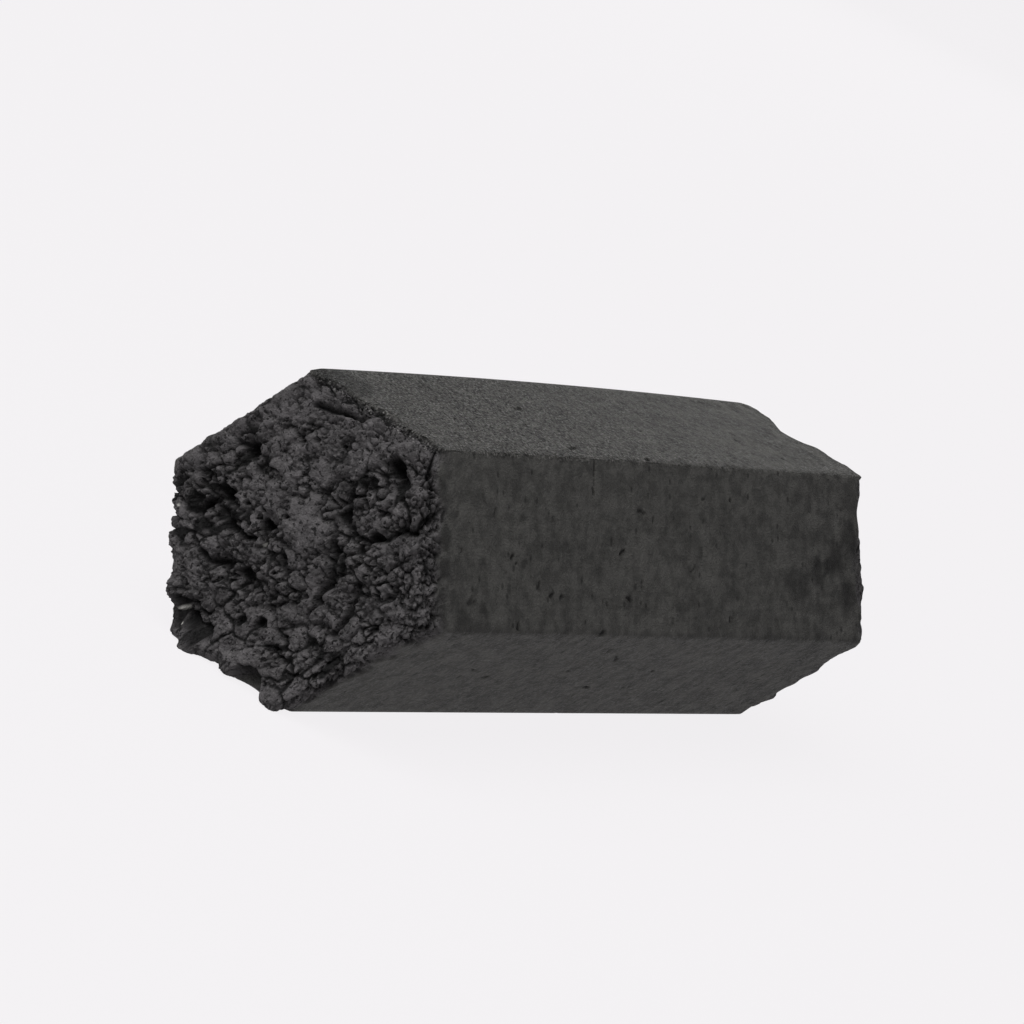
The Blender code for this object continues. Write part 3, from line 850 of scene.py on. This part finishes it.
def briquette_mesh(form):
    """The briquette's fine mesh, with the attributes that its material reads."""
    noise.seed_set(NOISE_SEED)
    levels = len(net_levels()) - 1
    bm = bmesh.new()
    stick_net(bm, form.net_steps, levels)
    refine_ends(bm, levels)
    refine_marks(bm)
    bmesh.ops.poke(bm, faces=[face for face in bm.faces if len(face.verts) > 4])
    crumbly = bm.verts.layers.float.new("crumbly")
    painted_shade_and_stain = bm.verts.layers.float.new("painted_shade_and_stain")
    ash = bm.verts.layers.float.new("ash")
    upper_glint_and_grain = bm.verts.layers.float.new("upper_glint_and_grain")
    for vert in bm.verts:
        vert.co, vert[crumbly], vert[painted_shade_and_stain], vert[ash], vert[upper_glint_and_grain] = finished_point(vert.co)
    bmesh.ops.triangulate(bm, faces=bm.faces[:])
    bmesh.ops.recalc_face_normals(bm, faces=bm.faces[:])
    mesh = bpy.data.meshes.new("pressed_charcoal")
    bm.to_mesh(mesh)
    bm.free()
    mesh.shade_smooth()
    return mesh


class NodeSheet:
    """Places shader nodes in a tree, and links them by name."""

    def __init__(self, tree):
        self.tree = tree

    def add(self, kind, label, **settings):
        node = self.tree.nodes.new(kind)
        node.label = label
        node.location = (220 * (len(self.tree.nodes) % 8), -260 * (len(self.tree.nodes) // 8))
        for name, value in settings.items():
            setattr(node, name, value)
        return node

    def put(self, socket, value):
        """Links a socket to another, or sets its value."""
        if isinstance(value, bpy.types.NodeSocket):
            self.tree.links.new(value, socket)
        else:
            socket.default_value = value

    def math(self, operation, first, second=0.0, label=""):
        node = self.add("ShaderNodeMath", label or operation.lower(), operation=operation)
        self.put(node.inputs[0], first)
        self.put(node.inputs[1], second)
        return node.outputs[0]

    def stretch(self, value, low, high, label=""):
        """Takes low to 0 and high to 1, smoothly, and no further."""
        node = self.add("ShaderNodeMapRange", label or "stretch", interpolation_type="SMOOTHSTEP")
        self.put(node.inputs["Value"], value)
        self.put(node.inputs["From Min"], low)
        self.put(node.inputs["From Max"], high)
        return node.outputs["Result"]

    def noise(self, vector, scale, detail=3.0, roughness=0.5, label="noise"):
        node = self.add("ShaderNodeTexNoise", label)
        self.put(node.inputs["Vector"], vector)
        self.put(node.inputs["Scale"], scale)
        self.put(node.inputs["Detail"], detail)
        self.put(node.inputs["Roughness"], roughness)
        return node.outputs["Fac"]

    def cells(self, vector, scale, feature="F1", label="cells"):
        node = self.add("ShaderNodeTexVoronoi", label, feature=feature)
        self.put(node.inputs["Vector"], vector)
        self.put(node.inputs["Scale"], scale)
        return node

    def weighted(self, *parts):
        """The sum of sockets, each times its own weight."""
        total = 0.0
        for socket, weight in parts:
            node = self.add("ShaderNodeMath", "weighted", operation="MULTIPLY_ADD")
            self.put(node.inputs[0], socket)
            self.put(node.inputs[1], weight)
            self.put(node.inputs[2], total)
            total = node.outputs[0]
        return total

    def red(self, value):
        node = self.add("ShaderNodeSeparateColor", "random number")
        self.put(node.inputs[0], value)
        return node.outputs["Red"]

    def mapped(self, vector, scale, label="stretched"):
        node = self.add("ShaderNodeMapping", label)
        self.put(node.inputs["Vector"], vector)
        self.put(node.inputs["Scale"], scale)
        return node.outputs["Vector"]

    def mix(self, share, first, second, label="mix", blend="MIX"):
        node = self.add("ShaderNodeMix", label, data_type="RGBA", blend_type=blend)
        self.put(node.inputs["Factor"], share)
        self.put(node.inputs["A"], first)
        self.put(node.inputs["B"], second)
        return node.outputs["Result"]

    def cover(self, base, mask, share, paint, label):
        """Lays a paint over the base where the mask is, at this share of full strength."""
        return self.mix(self.math("MULTIPLY", mask, share), base, colour(paint), label)


def colour(value):
    return (*value, 1.0)


def charcoal_material(look):
    """Matt pressed charcoal: mottled sides with streaks and grains, and dusty crumbs at the ends, with
    painted shade in gaps, holes and pits, and painted glints on the upper side.
    """
    material = bpy.data.materials.new("pressed_charcoal")
    material.use_nodes = True
    sheet = NodeSheet(material.node_tree)
    shader = material.node_tree.nodes["Principled BSDF"]
    metres = sheet.add("ShaderNodeTexCoord", "place").outputs["Object"]
    here = sheet.mapped(metres, (1000.0, 1000.0, 1000.0), "place in mm")
    crumbly = sheet.add("ShaderNodeAttribute", "crumbly", attribute_name="crumbly").outputs["Fac"]
    painted_shade_and_stain = sheet.add("ShaderNodeAttribute", "painted_shade_and_stain", attribute_name="painted_shade_and_stain").outputs["Fac"]
    along = sheet.add("ShaderNodeSeparateXYZ", "along the stick")
    sheet.put(along.inputs[0], here)

    powder = sheet.stretch(sheet.noise(here, 2.6, 2.0, 0.7, "powder grain"), 0.33, 0.67, "powder")
    mottle = sheet.noise(here, 0.16, 3.0, 0.6, "mottle")
    blotches = sheet.stretch(sheet.noise(here, 0.55, 2.0, 0.6, "blotches"), 0.35, 0.65)
    bars = sheet.noise(sheet.mapped(here, (0.75, 0.09, 0.09)), 1.0, 2.0, 0.6, "cross bars")
    streaks = sheet.noise(sheet.mapped(here, (0.12, 1.5, 1.5)), 1.0, 3.0, 0.6, "press streaks")
    tone = sheet.weighted((powder, 0.3), (mottle, 0.9), (blotches, 0.45), (bars, 0.35), (streaks, 0.5))
    front = sheet.stretch(along.outputs["X"], 55.0, -30.0, "towards the near end")
    above = sheet.add("ShaderNodeAttribute", "upper side", attribute_name="upper_glint_and_grain").outputs["Fac"]
    upper_glint_and_grain = sheet.math("MULTIPLY", front, above, "worn upper side")
    # Painted light: the upper side is made lighter (0.07), and towards the near end its grit gets bright and
    # dark speckle that stands in for glints where light grazes it
    grit = sheet.stretch(sheet.noise(here, 3.0, 2.0, 0.6, "grit"), 0.38, 0.62, "grit")
    grit_and_glints = sheet.math("MULTIPLY", upper_glint_and_grain, sheet.math("ADD", grit, -0.5), "gritty upper side")
    tone = sheet.math("ADD", sheet.weighted((tone, 1.0), (grit_and_glints, 1.6), (above, 0.07)), -0.25, "tone")

    base = sheet.mix(crumbly, colour(look.side_colour), colour(look.end_colour), "side or end")
    base = sheet.mix(1.0, base, tone, "toned", "MULTIPLY")
    # Painted glints: pale flecks on the upper side towards the near end, and fewer on the crumbly ends
    glint_flecks = sheet.cells(here, 2.6, label="glint_flecks")
    chosen = sheet.math("GREATER_THAN", sheet.red(glint_flecks.outputs["Color"]), 0.68, "few of them")
    glint_fleck = sheet.math("MULTIPLY", chosen, sheet.stretch(glint_flecks.outputs["Distance"], 0.45, 0.2))
    glint_fleck = sheet.math("MULTIPLY", glint_fleck, sheet.weighted((upper_glint_and_grain, 1.0), (crumbly, 0.2)))
    base = sheet.mix(glint_fleck, base, colour(look.ash_and_glint_colour), "with flecks")
    specks = sheet.cells(sheet.mapped(here, (1.0, 0.7, 0.7)), 0.8, label="specks")
    chosen = sheet.math("LESS_THAN", sheet.red(specks.outputs["Color"]), 0.22, "some of them")
    speck = sheet.math("MULTIPLY", chosen, sheet.stretch(specks.outputs["Distance"], 0.3, 0.12))
    base = sheet.cover(base, speck, 0.6, look.soot_and_shade_colour, "with specks")
    smears = sheet.cells(sheet.mapped(here, (0.34, 0.26, 0.26)), 1.0, label="smears")
    chosen = sheet.math("LESS_THAN", sheet.red(smears.outputs["Color"]), 0.3, "some of them")
    torn = sheet.weighted((smears.outputs["Distance"], 1.0), (blotches, 0.3))
    smear = sheet.math("MULTIPLY", chosen, sheet.stretch(torn, 0.4, 0.15))
    base = sheet.cover(base, smear, 0.35, look.soot_and_shade_colour, "with smears")
    far = sheet.stretch(along.outputs["X"], 26.0, 46.0, "towards the far end")
    stain = sheet.stretch(sheet.noise(here, 0.3, 2.0, 0.6, "stains"), 0.5, 0.62)
    stain = sheet.math("MULTIPLY", stain, far)
    base = sheet.cover(base, stain, 0.35, look.soot_and_shade_colour, "with stains")
    # Painted shade: near-black laid over gaps, holes, crevices, chips and marks, and on the real stains
    base = sheet.cover(base, painted_shade_and_stain, 0.95, look.soot_and_shade_colour, "with soot")
    # Painted shade: small black pits on the crumbly ends, painted in colour only, without any hollow
    pit_shade = sheet.stretch(sheet.noise(here, 1.7, 3.0, 0.6, "pit_shade"), 0.56, 0.63)
    pit_shade = sheet.math("MULTIPLY", pit_shade, crumbly, "small pits")
    base = sheet.cover(base, pit_shade, 0.85, look.soot_and_shade_colour, "with small pits")
    ash = sheet.add("ShaderNodeAttribute", "ash", attribute_name="ash").outputs["Fac"]
    base = sheet.mix(ash, base, colour(look.ash_colour), "with ash")
    sheet.put(shader.inputs["Base Color"], base)
    shader.inputs["Specular IOR Level"].default_value = look.shine

    rougher = look.end_roughness - look.side_roughness
    rough = sheet.weighted((crumbly, rougher), (powder, 0.35), (mottle, 0.15))
    sheet.put(shader.inputs["Roughness"], sheet.math("ADD", rough, look.side_roughness - 0.25))

    grains = sheet.cells(here, 3.4, label="grains").outputs["Distance"]
    dents = sheet.noise(here, 1.3, 2.0, 0.65, "dents")
    scratches = sheet.noise(sheet.mapped(here, (1.2, 4.0, 4.0)), 1.0, 2.0, 0.7, "scratches")
    height = sheet.weighted((powder, 0.5), (grains, -0.5), (dents, 1.2), (scratches, 1.0))
    above_gain = sheet.math("ADD", sheet.math("MULTIPLY", upper_glint_and_grain, 2.0), 1.0)
    height = sheet.math("MULTIPLY", height, above_gain, "rougher above")
    bump = sheet.add("ShaderNodeBump", "relief")
    bump.inputs["Strength"].default_value = 1.0
    bump.inputs["Distance"].default_value = look.relief
    sheet.put(bump.inputs["Height"], height)
    sheet.put(shader.inputs["Normal"], bump.outputs["Normal"])
    return material


def floor_material(studio):
    """Pale table that gives out most of its own light, and is clear from below."""
    material = bpy.data.materials.new("pale_table")
    material.use_nodes = True
    tree = material.node_tree
    sheet = NodeSheet(tree)
    shader = tree.nodes["Principled BSDF"]
    shader.inputs["Base Color"].default_value = colour([part * 0.05 for part in studio.floor_colour])
    shader.inputs["Roughness"].default_value = 0.9
    shader.inputs["Specular IOR Level"].default_value = 0.0
    shader.inputs["Emission Color"].default_value = colour(studio.floor_colour)
    seen = sheet.add("ShaderNodeLightPath", "seen by the camera").outputs["Is Camera Ray"]
    bounced = studio.floor_glow * studio.floor_bounce
    glow = sheet.weighted((seen, studio.floor_glow - bounced))
    sheet.put(shader.inputs["Emission Strength"], sheet.math("ADD", glow, bounced))
    clear = sheet.add("ShaderNodeBsdfTransparent", "clear from below")
    either = sheet.add("ShaderNodeMixShader", "upper side only")
    behind = sheet.add("ShaderNodeNewGeometry", "facing").outputs["Backfacing"]
    sheet.put(either.inputs[0], behind)
    sheet.put(either.inputs[1], shader.outputs[0])
    sheet.put(either.inputs[2], clear.outputs[0])
    sheet.put(tree.nodes["Material Output"].inputs["Surface"], either.outputs[0])
    return material


def link(thing):
    bpy.context.scene.collection.objects.link(thing)
    return thing


def make_floor(studio):
    bm = bmesh.new()
    bmesh.ops.create_grid(bm, x_segments=1, y_segments=1, size=studio.floor_size / 2)
    bmesh.ops.translate(bm, verts=bm.verts[:], vec=(0.0, 0.0, -0.05 * MM))
    mesh = bpy.data.meshes.new("table")
    bm.to_mesh(mesh)
    bm.free()
    mesh.materials.append(floor_material(studio))
    return link(bpy.data.objects.new("table", mesh))


def make_lamp(name, place, size, power):
    light = bpy.data.lights.new(name, "AREA")
    light.shape = "SQUARE"
    light.size = size
    light.energy = power
    lamp = link(bpy.data.objects.new(name, light))
    lamp.visible_camera = False
    place = Vector(place)
    lamp.matrix_world = Matrix.Translation(place) @ place.to_track_quat("Z", "Y").to_matrix().to_4x4()
    return lamp


def make_sky(studio):
    world = bpy.data.worlds.new("studio")
    world.use_nodes = True
    background = world.node_tree.nodes["Background"]
    background.inputs["Color"].default_value = (1.0, 0.99, 1.0, 1.0)
    background.inputs["Strength"].default_value = studio.sky_strength
    bpy.context.scene.world = world


def make_camera(studio):
    data = bpy.data.cameras.new("camera")
    data.sensor_width = 36.0
    data.lens = studio.camera_lens
    data.clip_start = 0.02
    camera = link(bpy.data.objects.new("camera", data))
    turn = (Matrix.Rotation(studio.camera_azimuth, 4, "Z")
            @ Matrix.Rotation(math.pi / 2 - studio.camera_elevation, 4, "X")
            @ Matrix.Rotation(studio.camera_roll, 4, "Z"))
    camera.matrix_world = Matrix.Translation(studio.camera_place) @ turn
    bpy.context.scene.camera = camera


class BRIQUETTE_OT_body(bpy.types.Operator):
    """Builds the briquette with its fine crumbs, marks and material"""
    bl_idname = "briquette.body"
    bl_label = "Build briquette"

    def execute(self, context):
        mesh = briquette_mesh(context.scene.briquette_form)
        mesh.materials.append(charcoal_material(context.scene.briquette_look))
        piece = link(bpy.data.objects.new("charcoal_briquette", mesh))
        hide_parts("briquette")
        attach(piece, "root")
        return {"FINISHED"}


class BRIQUETTE_OT_studio(bpy.types.Operator):
    """Builds the pale table, the soft light and the camera"""
    bl_idname = "briquette.studio"
    bl_label = "Build studio"

    def execute(self, context):
        studio = context.scene.briquette_studio
        make_floor(studio)
        make_lamp("soft_box", studio.lamp_place, studio.lamp_size, studio.lamp_power)
        make_lamp("back_light", studio.back_place, studio.back_size, studio.back_power)
        make_sky(studio)
        make_camera(studio)
        context.scene.view_settings.view_transform = "Standard"
        return {"FINISHED"}


class BRIQUETTE_PT_panel(bpy.types.Panel):
    bl_label = "Charcoal Briquette"
    bl_idname = "BRIQUETTE_PT_panel"
    bl_space_type = "VIEW_3D"
    bl_region_type = "UI"
    bl_category = "Briquette"

    def draw(self, context):
        scene = context.scene
        for group in (scene.briquette_form, scene.briquette_look, scene.briquette_studio):
            for name in group.__annotations__:
                self.layout.prop(group, name)
        self.layout.operator("briquette.body")
        self.layout.operator("briquette.studio")


CLASSES = (
    BriquetteForm,
    BriquetteLook,
    StudioLook,
    BRIQUETTE_OT_body,
    BRIQUETTE_OT_studio,
    BRIQUETTE_PT_panel,
)


def register():
    for item in CLASSES:
        bpy.utils.register_class(item)
    bpy.types.Scene.briquette_form = PointerProperty(type=BriquetteForm)
    bpy.types.Scene.briquette_look = PointerProperty(type=BriquetteLook)
    bpy.types.Scene.briquette_studio = PointerProperty(type=StudioLook)


def unregister():
    del bpy.types.Scene.briquette_studio
    del bpy.types.Scene.briquette_look
    del bpy.types.Scene.briquette_form
    for item in reversed(CLASSES):
        bpy.utils.unregister_class(item)


def main():
    register()
    bpy.ops.briquette.body()
    bpy.ops.briquette.studio()


if __name__ == "__main__":
    main()
